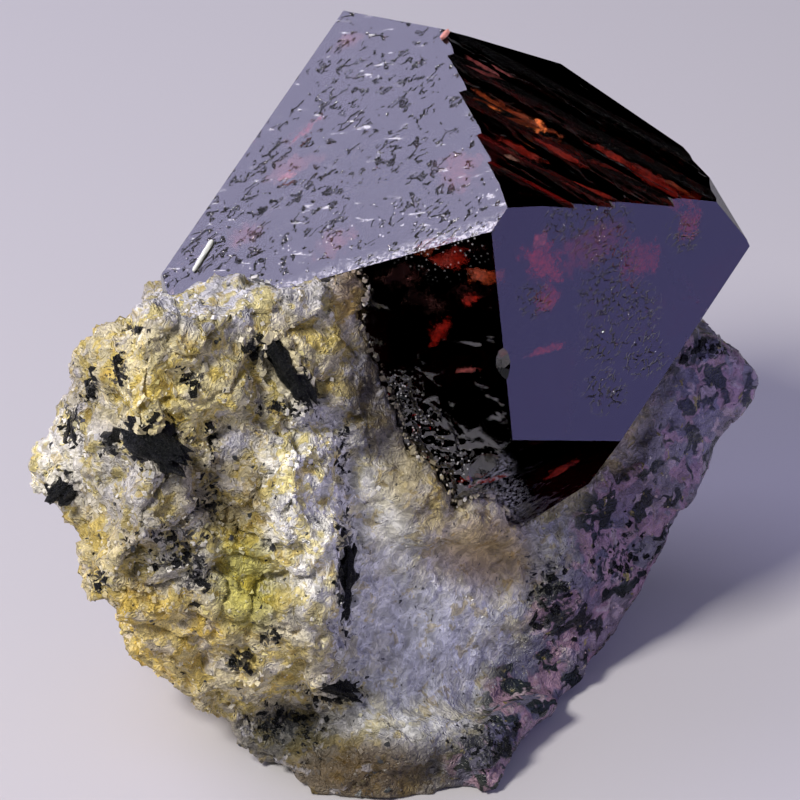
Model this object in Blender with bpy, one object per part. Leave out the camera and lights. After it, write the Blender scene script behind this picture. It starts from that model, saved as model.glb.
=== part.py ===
"""A dark red zircon crystal grown in its matrix, a broken lump of pale feldspar rock with black amphibole.

Metres, +Z up, the rock standing on its trimmed base at Z = 0. The specimen is described in millimetres in its
display axes: right, up and toward, where toward points at someone who looks down on it at DISPLAY_LIFT degrees.
"""

import math
from random import Random

import bmesh
import bpy
from mathutils import Matrix, Vector, noise
from mathutils.bvhtree import BVHTree

MM = 0.001
DISPLAY_LIFT = 30.0
FIT_GAP = 0.3

# The display axes, and where their origin stands above the table and in front of the middle of the specimen.
RIGHT = Vector((1.0, 0.0, 0.0))
UP = Vector((0.0, math.sin(math.radians(DISPLAY_LIFT)), math.cos(math.radians(DISPLAY_LIFT))))
TOWARD = Vector((0.0, -math.cos(math.radians(DISPLAY_LIFT)), math.sin(math.radians(DISPLAY_LIFT))))
DISPLAY_ORIGIN = Vector((-0.18, -13.54, 26.8))

# The zircon: tetragonal, with the c/a ratio of the mineral, its axis leaning a little from the line of sight.
ZIRCON_RATIO = 0.9054
ZIRCON_TOP = (6.45, 11.53, 0.0)
ZIRCON_LEAN = 11.4
ZIRCON_LEAN_TOWARDS = 52.3
ZIRCON_SPIN = -34.0
TOP_RIDGE = 1.76
LEFT_REACH = 15.4
RIGHT_REACH = 14.10
UPPER_REACH = 12.4
LOWER_REACH = 15.5
LEFT_CORNER_REACH = 19.7
CRYSTAL_LENGTH = 29.0

# Faces that trim single corners of the zircon: (normal in the crystal's axes, distance from the top of the crystal).
FACE_BELOW = ((1.0, -0.65, 0.5), 8.55)
TOP_LEFT_TRIM = ((-0.33, 0.90, 0.165), 10.31)
RIGHT_END = ((0.333, 0.943, 0.0), 14.05)
RIGHT_BEVEL = ((0.5, 0.8, 0.504), 8.09)

# Growth ledges across the upper right face. Each starts level with the face at one distance below the top ridge,
# sinks to its depth at the next, and ends there in a small riser. The ledges run a little askew of the ridge.
UPPER_LEDGES = (
    (1.9, 3.7, 0.22),
    (4.0, 5.9, 0.30),
    (6.3, 9.4, 0.42),
    (10.0, 12.4, 0.36),
    (13.1, 14.9, 0.27),
)
LEDGE_SKEW = 0.20

# Shell-shaped chips out of the front edge, in the display axes: where the edge is hit, and how deep.
EDGE_CHIPS = (((6.15, 2.1, -3.15), 0.46), ((4.8, -4.6, -7.2), 0.40))
CHIP_OUTWARD = (0.208, -0.391, 0.896)
CHIP_RADIUS = 2.2


def display_point(right, up, toward):
    """A point of the display axes as a place in the specimen's own frame, in millimetres."""
    return DISPLAY_ORIGIN + RIGHT * right + UP * up + TOWARD * toward


def display_axes():
    """The rotation that carries display directions to the specimen's own frame."""
    return Matrix((RIGHT, UP, TOWARD)).transposed()


def zircon_axes():
    """The crystal's two level axes and its long axis, as columns, in the specimen's own frame."""
    lean = math.radians(ZIRCON_LEAN)
    towards = math.radians(ZIRCON_LEAN_TOWARDS)
    spin = math.radians(ZIRCON_SPIN)
    long_axis = Vector((math.sin(lean) * math.cos(towards), math.sin(lean) * math.sin(towards), math.cos(lean)))
    level = Vector((math.cos(spin), math.sin(spin), 0.0))
    first = (level - long_axis * level.dot(long_axis)).normalized()
    second = long_axis.cross(first)
    return display_axes() @ Matrix((first, second, long_axis)).transposed()


def clear_scene():
    for obj in list(bpy.data.objects):
        bpy.data.objects.remove(obj)


def material(name, colour, roughness):
    made = bpy.data.materials.new(name)
    made.use_nodes = True
    shader = made.node_tree.nodes["Principled BSDF"]
    shader.inputs["Base Color"].default_value = (*colour, 1.0)
    shader.inputs["Roughness"].default_value = roughness
    return made


def add_object(name, mesh, finish=None):
    obj = bpy.data.objects.new(name, mesh)
    bpy.context.scene.collection.objects.link(obj)
    if finish:
        mesh.materials.append(finish)
    return obj


def faceted_mesh(name, faces, grow=0.0):
    """A closed solid bounded by flat faces, each a (normal, distance in millimetres) from the crystal's origin."""
    size = 200.0
    mesh_data = bmesh.new()
    bmesh.ops.create_cube(mesh_data, size=size)
    for normal, distance in faces:
        direction = Vector(normal).normalized()
        cut = bmesh.ops.bisect_plane(
            mesh_data,
            geom=mesh_data.verts[:] + mesh_data.edges[:] + mesh_data.faces[:],
            plane_co=direction * (distance + grow),
            plane_no=direction,
            clear_outer=True,
        )
        edges = [item for item in cut["geom_cut"] if isinstance(item, bmesh.types.BMEdge)]
        if edges:
            bmesh.ops.holes_fill(mesh_data, edges=edges)
    bmesh.ops.remove_doubles(mesh_data, verts=mesh_data.verts, dist=0.001)
    bmesh.ops.recalc_face_normals(mesh_data, faces=mesh_data.faces)
    mesh = bpy.data.meshes.new(name)
    mesh_data.to_mesh(mesh)
    mesh_data.free()
    return mesh


def crystal_face(h, k, l):
    """The normal of a tetragonal crystal face from its Miller indices."""
    return (h, k, l / ZIRCON_RATIO)


def zircon_faces():
    """Every flat face of the zircon: two pyramids, the square prism, and the planes that trim its corners."""
    lower_shift = TOP_RIDGE * ZIRCON_RATIO / math.hypot(1.0, ZIRCON_RATIO)
    bottom = CRYSTAL_LENGTH / math.hypot(1.0, ZIRCON_RATIO)
    faces = [
        (crystal_face(-1, 0, 1), 0.0),
        (crystal_face(1, 0, 1), 0.0),
        (crystal_face(0, 1, 1), 0.0),
        (crystal_face(0, -1, 1), lower_shift),
        (crystal_face(-1, 0, 0), LEFT_REACH),
        (crystal_face(1, 0, 0), RIGHT_REACH),
        (crystal_face(0, 1, 0), UPPER_REACH),
        (crystal_face(0, -1, 0), LOWER_REACH),
        (crystal_face(-1, -1, 0), LEFT_CORNER_REACH),
        FACE_BELOW,
        TOP_LEFT_TRIM,
        RIGHT_END,
        RIGHT_BEVEL,
    ]
    faces += [(crystal_face(h, k, -1), bottom) for h, k in ((1, 0), (-1, 0), (0, 1), (0, -1))]
    return faces


def crystal_to_world():
    """Turns the zircon's own axes, measured from its top, to the specimen's frame."""
    return Matrix.Translation(display_point(*ZIRCON_TOP)) @ zircon_axes().to_4x4()


def display_to_world():
    """Turns the display axes to the specimen's frame."""
    return Matrix.Translation(DISPLAY_ORIGIN) @ display_axes().to_4x4()


def hull_mesh(corners):
    """The closed hull of the corners."""
    mesh_data = bmesh.new()
    for corner in corners:
        mesh_data.verts.new(corner)
    made = bmesh.ops.convex_hull(mesh_data, input=mesh_data.verts)
    inner = [item for item in made["geom_interior"] if isinstance(item, bmesh.types.BMVert)]
    bmesh.ops.delete(mesh_data, geom=inner, context="VERTS")
    bmesh.ops.recalc_face_normals(mesh_data, faces=mesh_data.faces)
    mesh = bpy.data.meshes.new("hull")
    mesh_data.to_mesh(mesh)
    mesh_data.free()
    return mesh


def evaluated_mesh(obj):
    graph = bpy.context.evaluated_depsgraph_get()
    graph.update()
    return bpy.data.meshes.new_from_object(obj.evaluated_get(graph))


def cut_away(obj, cutter_meshes):
    """Takes the cutters out of the object one after another and leaves the result as plain mesh."""
    helpers = []
    for cutter_mesh in cutter_meshes:
        helper = add_object("cutter", cutter_mesh)
        helpers.append(helper)
        cut = obj.modifiers.new("cut", "BOOLEAN")
        cut.operation = "DIFFERENCE"
        cut.solver = "EXACT"
        cut.object = helper
    result = evaluated_mesh(obj)
    obj.modifiers.clear()
    obj.data = result
    for helper in helpers:
        bpy.data.objects.remove(helper)


def ledge_cutter(start, end, depth):
    """The wedge above one ledge of the upper right face, in the crystal's axes."""
    slope = Vector((0.0, 1.0 / ZIRCON_RATIO, -1.0)).normalized()
    outward = Vector((0.0, 1.0, 1.0 / ZIRCON_RATIO)).normalized()
    half_width = 22.0
    corners = []
    for across in (-half_width, half_width):
        skew = LEDGE_SKEW * across
        corners.append(Vector((across, 0.0, 0.0)) + slope * (start + skew))
        corners.append(Vector((across, 0.0, 0.0)) + slope * (start + skew) + outward)
        corners.append(Vector((across, 0.0, 0.0)) + slope * (end + skew) - outward * depth)
        corners.append(Vector((across, 0.0, 0.0)) + slope * (end + skew) + outward)
    mesh = hull_mesh(corners)
    mesh.transform(crystal_to_world())
    return mesh


def chip_cutter(place, depth):
    mesh_data = bmesh.new()
    bmesh.ops.create_icosphere(mesh_data, subdivisions=3, radius=CHIP_RADIUS)
    mesh = bpy.data.meshes.new("chip")
    mesh_data.to_mesh(mesh)
    mesh_data.free()
    centre = Vector(place) + Vector(CHIP_OUTWARD).normalized() * (CHIP_RADIUS - depth)
    mesh.transform(display_to_world() @ Matrix.Translation(centre))
    return mesh


def build_zircon(finish):
    mesh = faceted_mesh("zircon_crystal", zircon_faces())
    mesh.transform(crystal_to_world())
    obj = add_object("zircon_crystal", mesh, finish)
    cutters = [ledge_cutter(*ledge) for ledge in UPPER_LEDGES]
    cutters += [chip_cutter(*chip) for chip in EDGE_CHIPS]
    cut_away(obj, cutters)
    obj.data.name = obj.name


def zircon_pocket():
    """The room the zircon takes up in the rock, with the fit gap around it."""
    mesh = faceted_mesh("pocket", zircon_faces(), grow=FIT_GAP)
    mesh.transform(crystal_to_world())
    return mesh


# The rock, in millimetres in the display axes. Its main block is bounded by broken faces: (normal, point on it).
ROCK_BLOCK = {
    "front slope": ((0.58, -0.22, 0.785), (-3.3, -9.6, -7.0)),
    "lower front": ((0.10, -0.72, 0.69), (1.0, -17.5, -9.5)),
    "right flank": ((0.832, -0.555, 0.0), (23.9, 1.0, -20.0)),
    "right shoulder": ((0.60, 0.80, 0.0), (21.4, 3.5, -20.0)),
    "top behind the crystal": ((-0.15, 0.98, 0.10), (4.0, 11.0, -24.0)),
    "lower left": ((-0.77, -0.64, 0.0), (-15.5, -15.0, -15.0)),
    "left": ((-1.0, 0.15, 0.1), (-18.0, -5.0, -15.0)),
    "foot": ((0.0, -1.0, 0.0), (0.0, -24.8, -12.0)),
    "back": ((0.1, 0.0, -1.0), (0.0, 0.0, -36.0)),
    "back right": ((0.65, -0.1, -0.75), (20.0, -2.0, -27.0)),
    "back left": ((-0.70, 0.1, -0.7), (-14.0, -5.0, -27.0)),
    "back top": ((0.0, 0.75, -0.66), (0.0, 8.0, -32.0)),
}

# Angular lumps broken out beside the crystal, each the hull of its corners.
ROCK_LUMPS = {
    "lobe top": (
        (-4.6, 6.6, -3.4), (-4.2, 5.6, -4.2), (-3.4, 3.6, -5.8), (-3.7, 0.0, -5.6), (-6.6, 3.8, -1.9),
        (-12.0, 4.6, -3.6), (-15.2, 5.4, -9.4), (-17.6, 4.4, -9.4), (-19.6, 3.2, -10.8), (-20.2, 2.0, -12.0),
        (-19.6, 0.0, -11.0), (-17.0, 1.2, -6.4), (-12.0, 0.0, -1.4), (-6.6, -1.2, -0.4), (-4.2, -2.4, -2.8),
        (-5.0, 6.0, -20.0), (-15.6, 5.2, -20.0), (-19.6, 2.0, -21.0), (-19.0, -2.0, -21.0), (-4.0, -2.0, -20.0),
    ),
    "lobe middle": (
        (-19.6, -0.6, -11.5), (-19.8, -4.2, -10.6), (-20.4, -7.4, -13.4), (-19.8, -9.8, -13.6), (-16.2, -4.2, -4.8),
        (-12.0, -3.0, -1.8), (-6.0, -3.0, 0.2), (-3.7, -2.4, -2.6), (-3.2, -7.2, -3.2), (-3.8, -12.0, -3.8),
        (-6.0, -8.4, -0.2), (-12.0, -9.6, -3.6), (-17.6, -12.0, -11.4), (-4.0, -2.4, -20.0), (-4.0, -12.0, -20.0),
        (-20.0, -3.0, -22.0), (-18.0, -12.0, -22.0),
    ),
    "lobe foot": (
        (-19.4, -10.4, -14.0), (-17.2, -14.4, -12.6), (-16.3, -16.5, -12.2), (-13.2, -18.8, -11.8),
        (-10.0, -20.7, -11.4), (-6.2, -19.2, -9.4), (-4.0, -17.8, -7.4), (-3.4, -14.8, -5.4), (-3.8, -12.2, -3.8),
        (-7.2, -12.0, -1.8), (-12.0, -11.4, -4.2), (-15.2, -12.2, -8.4), (-4.0, -12.0, -20.0),
        (-6.0, -18.6, -18.0), (-13.0, -17.8, -20.0), (-18.6, -11.0, -22.0),
    ),
    "collar below the crystal": (
        (-1.6, -0.6, -6.6), (-0.8, -2.7, -7.4), (1.5, -4.3, -7.9), (3.4, -5.8, -8.2), (4.7, -7.1, -8.5),
        (8.2, -7.5, -11.0), (-3.0, -6.0, -6.0), (0.6, -9.2, -7.6), (5.0, -10.2, -10.0), (9.0, -9.4, -12.6),
        (-2.0, -2.0, -14.0), (2.4, -6.2, -15.0), (8.0, -8.0, -17.0),
    ),
    "left knob": (
        (-20.2, 0.0, -13.6), (-21.2, -0.9, -15.0), (-23.4, -3.8, -16.4), (-23.1, -6.0, -16.4), (-21.4, -7.9, -15.6),
        (-20.8, -3.4, -12.8), (-19.0, -4.0, -12.0), (-19.0, 0.0, -20.0), (-22.4, -4.4, -21.0), (-19.0, -8.0, -20.0),
    ),
    "front foot": (
        (-5.6, -20.4, -11.4), (-5.8, -24.6, -10.6), (-9.1, -22.1, -12.2), (-1.4, -20.2, -8.8), (2.0, -20.8, -9.2),
        (5.4, -21.6, -11.2),
        (2.4, -24.6, -11.4), (-2.0, -24.8, -10.6), (6.6, -24.4, -13.6), (-5.0, -22.0, -22.0), (6.0, -22.0, -22.0),
        (0.0, -18.6, -13.0), (8.2, -20.6, -14.6), (7.4, -23.2, -15.6),
    ),
    "foot of the flank": (
        (5.0, -24.6, -10.6), (6.3, -24.3, -10.8), (7.5, -22.8, -12.4), (8.7, -21.3, -14.2), (10.9, -18.4, -15.8),
        (5.0, -20.5, -10.8), (7.0, -18.8, -12.8), (5.5, -24.6, -14.0), (8.6, -22.0, -19.0), (10.6, -19.5, -20.0),
        (4.5, -21.0, -20.0),
    ),
}

# The outline of the rock as the display side shows it, read round from the lobe by the foot to the right shoulder,
# in millimetres at the depth of the display origin. Where the crystal hides the rock it is left out.
OUTLINE_CENTRE = (-0.6, -8.4)
ROCK_OUTLINE = (
    (-14.7, 6.2), (-17.4, 4.7), (-19.3, 3.3), (-20.1, 2.1), (-19.8, 0.0), (-20.4, -0.9), (-22.2, -3.6),
    (-21.9, -5.7), (-20.4, -7.5), (-19.5, -7.8), (-18.9, -10.2), (-16.5, -14.1), (-15.6, -15.9), (-12.6, -18.0),
    (-9.6, -19.8), (-8.7, -21.3), (-5.4, -23.8), (-2.0, -24.0), (1.2, -23.9), (2.4, -23.4), (5.9, -23.3),
    (6.9, -21.6), (7.8, -20.1), (10.8, -16.8), (14.4, -11.4), (15.6, -9.3), (16.3, -7.8), (21.9, 0.3),
    (21.9, 1.5), (20.7, 3.0), (18.0, 4.3),
)
OUTLINE_STEP = 4
OUTLINE_ROUNDS = 2
OUTLINE_SPARE = 0.35
EYE_DISTANCE = 300.0
ROCK_TRIANGLES = 8600.0
ROCK_VOXEL = 0.42
WORN_EDGES = 5


# Hollows of the front: middle and half sizes across the line of sight, turn in degrees, depth.
FRONT_HOLLOWS = {
    "dark hollow of the lobe": ((-11.4, -6.0), (0.9, 2.0), 15.0, 1.3),
    "imprint of a lost crystal": ((5.2, -9.8), (3.3, 2.4), -8.0, 0.7),
    "recess above the foot": ((-6.6, -20.4), (2.6, 1.2), -20.0, 1.6),
    "cleft beside the lobe": ((-3.2, -9.0), (0.5, 6.5), 4.0, 0.7),
    "cleft of the lobe": ((-13.6, -10.6), (0.5, 3.6), 30.0, 0.7),
}

# Black amphibole crystals sunk in the rock: middle across the line of sight, length, width and thickness in
# millimetres, turn from level, and tilt toward the eye, in degrees.
AMPHIBOLES = {
    "amphibole_lobe": ((-14.6, -2.7), (3.6, 1.7, 1.5), -32.0, 12.0),
    "amphibole_upper": ((-6.7, 1.6), (3.9, 1.1, 1.3), -58.0, -8.0),
    "amphibole_ledge": ((-3.5, -11.2), (3.6, 1.1, 1.3), 84.0, 10.0),
    "amphibole_foot": ((-4.0, -17.6), (2.4, 1.2, 1.3), -22.0, -10.0),
    "amphibole_knob": ((-20.9, -5.3), (2.0, 1.4, 1.3), 60.0, 0.0),
}
AMPHIBOLE_SUNK = 0.25


def block_mesh(faces):
    """A solid bounded by planes, each (normal, point on it)."""
    planes = [(normal, Vector(normal).normalized().dot(Vector(point))) for normal, point in faces]
    return faceted_mesh("block", planes)


def hollow_depth(place):
    """How deep the hollows of the front are at a place across the line of sight."""
    deepest = 0.0
    for middle, half_sizes, turn, depth in FRONT_HOLLOWS.values():
        offset = Matrix.Rotation(math.radians(-turn), 2) @ (place.xy - Vector(middle))
        away = (abs(offset.x) / half_sizes[0]) ** 4 + (abs(offset.y) / half_sizes[1]) ** 4
        deepest = max(deepest, depth * math.exp(-away))
    return deepest


def rough_height(point):
    """How far the broken surface stands out at a point, in millimetres: big hackly steps, then grains."""
    broad = noise.fractal(point * 0.16, 1.0, 2.0, 3, noise_basis="PERLIN_ORIGINAL")
    blocks = noise.voronoi(point * 0.28)[0]
    crumbs = noise.voronoi(point * 0.75 + Vector((5.0, 1.0, 2.0)))[0]
    return 0.8 * broad + 0.9 * (0.42 - blocks[0]) + 0.45 * (0.4 - crumbs[0])


def seen(point):
    """A point of the display axes as the eye sees it, moved to the depth of the display origin."""
    nearer = EYE_DISTANCE / (EYE_DISTANCE - point.z)
    return Vector((point.x * nearer, point.y * nearer)), nearer


def turn_and_reach(place):
    offset = place - Vector(OUTLINE_CENTRE)
    return math.degrees(math.atan2(offset.y, offset.x)) % 360.0, offset.length


def outline_reach():
    """The reach of the drawn outline from its centre, for every OUTLINE_STEP degrees; None behind the crystal."""
    reaches = [None] * (360 // OUTLINE_STEP)
    centre = Vector(OUTLINE_CENTRE)
    corners = [Vector(corner) - centre for corner in ROCK_OUTLINE]
    for index in range(len(reaches)):
        angle = math.radians(index * OUTLINE_STEP)
        ray = Vector((math.cos(angle), math.sin(angle)))
        for first, second in zip(corners, corners[1:]):
            edge = second - first
            across = ray.x * edge.y - ray.y * edge.x
            if abs(across) < 1e-9:
                continue
            along = (first.x * edge.y - first.y * edge.x) / across
            share = (first.x * ray.y - first.y * ray.x) / across
            if along > 0.0 and 0.0 <= share <= 1.0:
                reaches[index] = max(reaches[index] or 0.0, along + OUTLINE_SPARE)
    return reaches


def fit_to_outline(mesh):
    """Stretches the rock across the line of sight until its rim follows the drawn outline."""
    count = 360 // OUTLINE_STEP
    drawn = outline_reach()
    reached = [0.0] * count
    for vert in mesh.vertices:
        turn, reach = turn_and_reach(seen(vert.co)[0])
        slot = round(turn / OUTLINE_STEP) % count
        reached[slot] = max(reached[slot], reach)
    stretch = [drawn[i] / reached[i] if drawn[i] else 1.0 for i in range(count)]
    stretch = [(stretch[i - 1] + 2.0 * stretch[i] + stretch[(i + 1) % count]) / 4.0 for i in range(count)]
    centre = Vector(OUTLINE_CENTRE)
    for vert in mesh.vertices:
        place, nearer = seen(vert.co)
        turn, reach = turn_and_reach(place)
        low = int(turn // OUTLINE_STEP)
        share = turn / OUTLINE_STEP - low
        factor = stretch[low % count] * (1.0 - share) + stretch[(low + 1) % count] * share
        moved = centre + (place - centre) * factor
        vert.co.x, vert.co.y = moved.x / nearer, moved.y / nearer


def one_skin(mesh, smoothing):
    """Joins whatever overlaps in the mesh to one closed surface and wears its edges a little."""
    blank = add_object("rock", mesh)
    remesh = blank.modifiers.new("one skin", "REMESH")
    remesh.mode = "VOXEL"
    remesh.voxel_size = ROCK_VOXEL
    if smoothing:
        smooth = blank.modifiers.new("worn edges", "SMOOTH")
        smooth.factor = 0.5
        smooth.iterations = smoothing
    skin = evaluated_mesh(blank)
    bpy.data.objects.remove(blank)
    return skin


def rock_skin():
    """The outer surface of the rock in the display axes, before anything is let into it."""
    mesh_data = bmesh.new()
    mesh_data.from_mesh(block_mesh(ROCK_BLOCK.values()))
    for corners in ROCK_LUMPS.values():
        mesh_data.from_mesh(hull_mesh(corners))
    mesh = bpy.data.meshes.new("rock")
    mesh_data.to_mesh(mesh)
    mesh_data.free()
    skin = one_skin(mesh, WORN_EDGES)
    normals = [vert.normal.copy() for vert in skin.vertices]
    for vert, normal in zip(skin.vertices, normals):
        vert.co += normal * rough_height(vert.co)
        if normal.z > 0.0:
            vert.co.z -= hollow_depth(vert.co) * min(1.0, 3.0 * normal.z)
    for _ in range(OUTLINE_ROUNDS):
        fit_to_outline(skin)
        skin = one_skin(skin, 0)
    lighter = add_object("rock", skin)
    fewer = lighter.modifiers.new("fewer faces", "DECIMATE")
    fewer.ratio = ROCK_TRIANGLES / (2.0 * len(skin.polygons))
    light_skin = evaluated_mesh(lighter)
    bpy.data.objects.remove(lighter)
    return light_skin


def front_depth(skin, middle):
    """How far toward the eye the rock reaches at a place across the line of sight."""
    corners = [vert.co.copy() for vert in skin.vertices]
    faces = [tuple(face.vertices) for face in skin.polygons]
    tree = BVHTree.FromPolygons(corners, faces)
    hit = tree.ray_cast(Vector((*middle, 50.0)), Vector((0.0, 0.0, -1.0)))[0]
    return hit.z


def amphibole_mesh(name, place, sizes, turn, tilt, grow=0.0):
    """A six-sided crystal with bevelled ends, in the specimen's frame; grow gives the socket around it."""
    length, width, thickness = sizes
    faces = [
        ((0.0, 0.0, 1.0), thickness / 2.0),
        ((0.0, 0.0, -1.0), thickness / 2.0),
        ((0.0, 1.0, 0.55), width / 2.0),
        ((0.0, -1.0, 0.55), width / 2.0),
        ((0.0, 1.0, -0.55), width / 2.0),
        ((0.0, -1.0, -0.55), width / 2.0),
        ((1.0, 0.0, 0.45), length / 2.2),
        ((-1.0, 0.0, 0.35), length / 2.2),
        ((1.0, 0.3, -0.2), length / 2.0),
        ((-1.0, -0.3, -0.2), length / 2.0),
    ]
    mesh = faceted_mesh(name, faces, grow)
    turned = Matrix.Rotation(math.radians(turn), 4, "Z") @ Matrix.Rotation(math.radians(-tilt), 4, "Y")
    mesh.transform(display_to_world() @ Matrix.Translation(place) @ turned)
    return mesh


def largest_body(mesh):
    """Keeps the biggest connected piece and drops crumbs that a cut left loose."""
    mesh_data = bmesh.new()
    mesh_data.from_mesh(mesh)
    mesh_data.verts.ensure_lookup_table()
    unseen = set(mesh_data.verts)
    bodies = []
    while unseen:
        body = {unseen.pop()}
        edge_of_body = list(body)
        while edge_of_body:
            vert = edge_of_body.pop()
            for edge in vert.link_edges:
                other = edge.other_vert(vert)
                if other in unseen:
                    unseen.discard(other)
                    body.add(other)
                    edge_of_body.append(other)
        bodies.append(body)
    bodies.sort(key=len, reverse=True)
    for body in bodies[1:]:
        bmesh.ops.delete(mesh_data, geom=list(body), context="VERTS")
    mesh_data.to_mesh(mesh)
    mesh_data.free()


def below_table():
    """A slab under the table top, for the trimmed base."""
    mesh = block_mesh([
        ((0.0, 0.0, 1.0), (0.0, 0.0, 0.0)),
        ((0.0, 0.0, -1.0), (0.0, 0.0, -30.0)),
        ((1.0, 0.0, 0.0), (60.0, 0.0, 0.0)),
        ((-1.0, 0.0, 0.0), (-60.0, 0.0, 0.0)),
        ((0.0, 1.0, 0.0), (0.0, 60.0, 0.0)),
        ((0.0, -1.0, 0.0), (0.0, -60.0, 0.0)),
    ])
    return mesh


def build_rock(stone, black):
    skin = rock_skin()
    sockets = []
    for name, (middle, sizes, turn, tilt) in AMPHIBOLES.items():
        place = Vector((*middle, front_depth(skin, middle) - AMPHIBOLE_SUNK))
        add_object(name, amphibole_mesh(name, place, sizes, turn, tilt), black)
        sockets.append(amphibole_mesh("socket", place, sizes, turn, tilt, FIT_GAP))
    skin.transform(display_to_world())
    obj = add_object("matrix", skin, stone)
    cut_away(obj, [below_table(), zircon_pocket(), *sockets])
    largest_body(obj.data)
    obj.data.name = obj.name


def main():
    clear_scene()
    red = material("zircon", (0.16, 0.02, 0.02), 0.08)
    stone = material("matrix", (0.45, 0.42, 0.34), 0.8)
    black = material("amphibole", (0.02, 0.025, 0.03), 0.35)
    build_zircon(red)
    build_rock(stone, black)
    for obj in bpy.data.objects:
        obj.data.transform(Matrix.Scale(MM, 4))
        obj.data.update()


main()
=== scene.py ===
"""A dark red zircon crystal in its matrix of rough feldspar rock with its mineral grains.

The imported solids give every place. Work is done in millimetres in the display axes (right, up and toward the
eye) and turned into the row frame, in metres, at the end of each piece.
"""

import math
from random import Random

import bmesh
import bpy
import numpy as np
from mathutils import Matrix, Vector, noise
from mathutils.bvhtree import BVHTree
from mathutils.geometry import delaunay_2d_cdt
from mathutils.kdtree import KDTree


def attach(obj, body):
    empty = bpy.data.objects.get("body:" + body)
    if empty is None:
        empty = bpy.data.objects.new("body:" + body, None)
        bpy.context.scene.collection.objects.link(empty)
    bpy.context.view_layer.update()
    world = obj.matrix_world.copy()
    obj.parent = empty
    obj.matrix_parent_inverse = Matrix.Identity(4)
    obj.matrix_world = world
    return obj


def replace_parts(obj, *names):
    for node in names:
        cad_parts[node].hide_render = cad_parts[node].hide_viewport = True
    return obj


MM = 0.001
DISPLAY_LIFT = math.radians(30.0)
DISPLAY_ORIGIN = Vector((-0.18, -13.54, 26.8))
EYE_DISTANCE = 300.0
FRAME_WIDTH = 48.0
PICTURE = 800.0
SENSOR = 36.0

UP = Vector((0.0, math.sin(DISPLAY_LIFT), math.cos(DISPLAY_LIFT)))
TOWARD = Vector((0.0, -math.cos(DISPLAY_LIFT), math.sin(DISPLAY_LIFT)))
DISPLAY_AXES = Matrix((Vector((1.0, 0.0, 0.0)), UP, TOWARD)).transposed()
TO_ROW = Matrix.Scale(MM, 4) @ Matrix.Translation(DISPLAY_ORIGIN) @ DISPLAY_AXES.to_4x4()
TO_DISPLAY = TO_ROW.inverted()


def row_point(right, up, toward):
    return TO_ROW @ Vector((right, up, toward))


def at_pixel(x, y, toward):
    """The display place that shows at a pixel of the 800 by 800 picture, at a given depth."""
    scale = FRAME_WIDTH / PICTURE * (EYE_DISTANCE - toward) / EYE_DISTANCE
    return Vector(((x - 0.5 * PICTURE) * scale, (0.5 * PICTURE - y) * scale, toward))


def link(obj):
    bpy.context.scene.collection.objects.link(obj)
    return obj


def piece(name, mesh):
    obj = link(bpy.data.objects.new(name, mesh))
    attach(obj, "root")
    return obj


def solid_copy(node):
    """The node's mesh in display millimetres, its doubled corners merged."""
    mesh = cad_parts[node].data.copy()
    mesh.transform(TO_DISPLAY)
    mesh_data = bmesh.new()
    mesh_data.from_mesh(mesh)
    bmesh.ops.remove_doubles(mesh_data, verts=mesh_data.verts, dist=0.002)
    mesh_data.to_mesh(mesh)
    mesh_data.free()
    mesh.materials.clear()
    return mesh


def make_camera():
    data = bpy.data.cameras.new("camera")
    data.sensor_width = SENSOR
    data.lens = SENSOR / FRAME_WIDTH * EYE_DISTANCE
    data.clip_start = 0.01
    camera = link(bpy.data.objects.new("camera", data))
    camera.matrix_world = Matrix.Translation(row_point(0.0, 0.0, EYE_DISTANCE)) @ DISPLAY_AXES.to_4x4()
    bpy.context.scene.camera = camera


def place_facing(obj, aim, direction, distance):
    """Sets an object off from aim (display millimetres) along a display direction, facing back to it."""
    outward = (DISPLAY_AXES @ Vector(direction)).normalized()
    obj.location = row_point(*aim) + outward * distance * MM
    obj.rotation_mode = "QUATERNION"
    obj.rotation_quaternion = outward.to_track_quat("Z", "Y")


def area_light(name, aim, direction, distance, size, radiance, colour):
    """A soft light whose surface has the given radiance; the size is in millimetres."""
    data = bpy.data.lights.new(name, "AREA")
    data.shape = "SQUARE"
    data.size = size * MM
    data.color = colour
    data.energy = radiance * math.pi * (size * MM) ** 2
    light = link(bpy.data.objects.new(name, data))
    place_facing(light, aim, direction, distance)
    light.visible_camera = False
    return light


FLOOR_HALF = 3.0
PANEL_WIDTH = 64.0
PANEL_HEIGHT = 42.0

# Black cards that only show in reflections, as a photographer sets them round a bright crystal: place that
# each faces, direction from it in the display axes, distance and half size in millimetres.
CARDS = (
    ("card_front", (2.0, 0.0, -6.0), (-0.475, -0.736, 0.472), 48.0, 36.0),
    ("card_below", (9.0, -4.5, -7.0), (0.386, -0.731, -0.562), 19.0, 13.0),
    ("card_side", (12.0, 4.0, -4.0), (0.927, -0.374, 0.037), 54.0, 72.0),
    ("card_back", (12.0, 14.0, -8.0), (0.542, 0.784, -0.294), 90.0, 45.0),
)


def plain_paint(name, colour, rough, specular):
    paint = bpy.data.materials.new(name)
    paint.use_nodes = True
    inputs = paint.node_tree.nodes["Principled BSDF"].inputs
    inputs["Base Color"].default_value = (*colour, 1.0)
    inputs["Roughness"].default_value = rough
    inputs["Specular IOR Level"].default_value = specular
    return paint


def stage_square(name, half, paint):
    """A level square round the origin that is part of the stage, its half size in metres."""
    mesh = bpy.data.meshes.new(name)
    corners = [(-half, -half, 0), (half, -half, 0), (half, half, 0), (-half, half, 0)]
    mesh.from_pydata(corners, [], [(0, 1, 2, 3)])
    mesh.materials.append(paint)
    square = link(bpy.data.objects.new(name, mesh))
    return square


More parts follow.
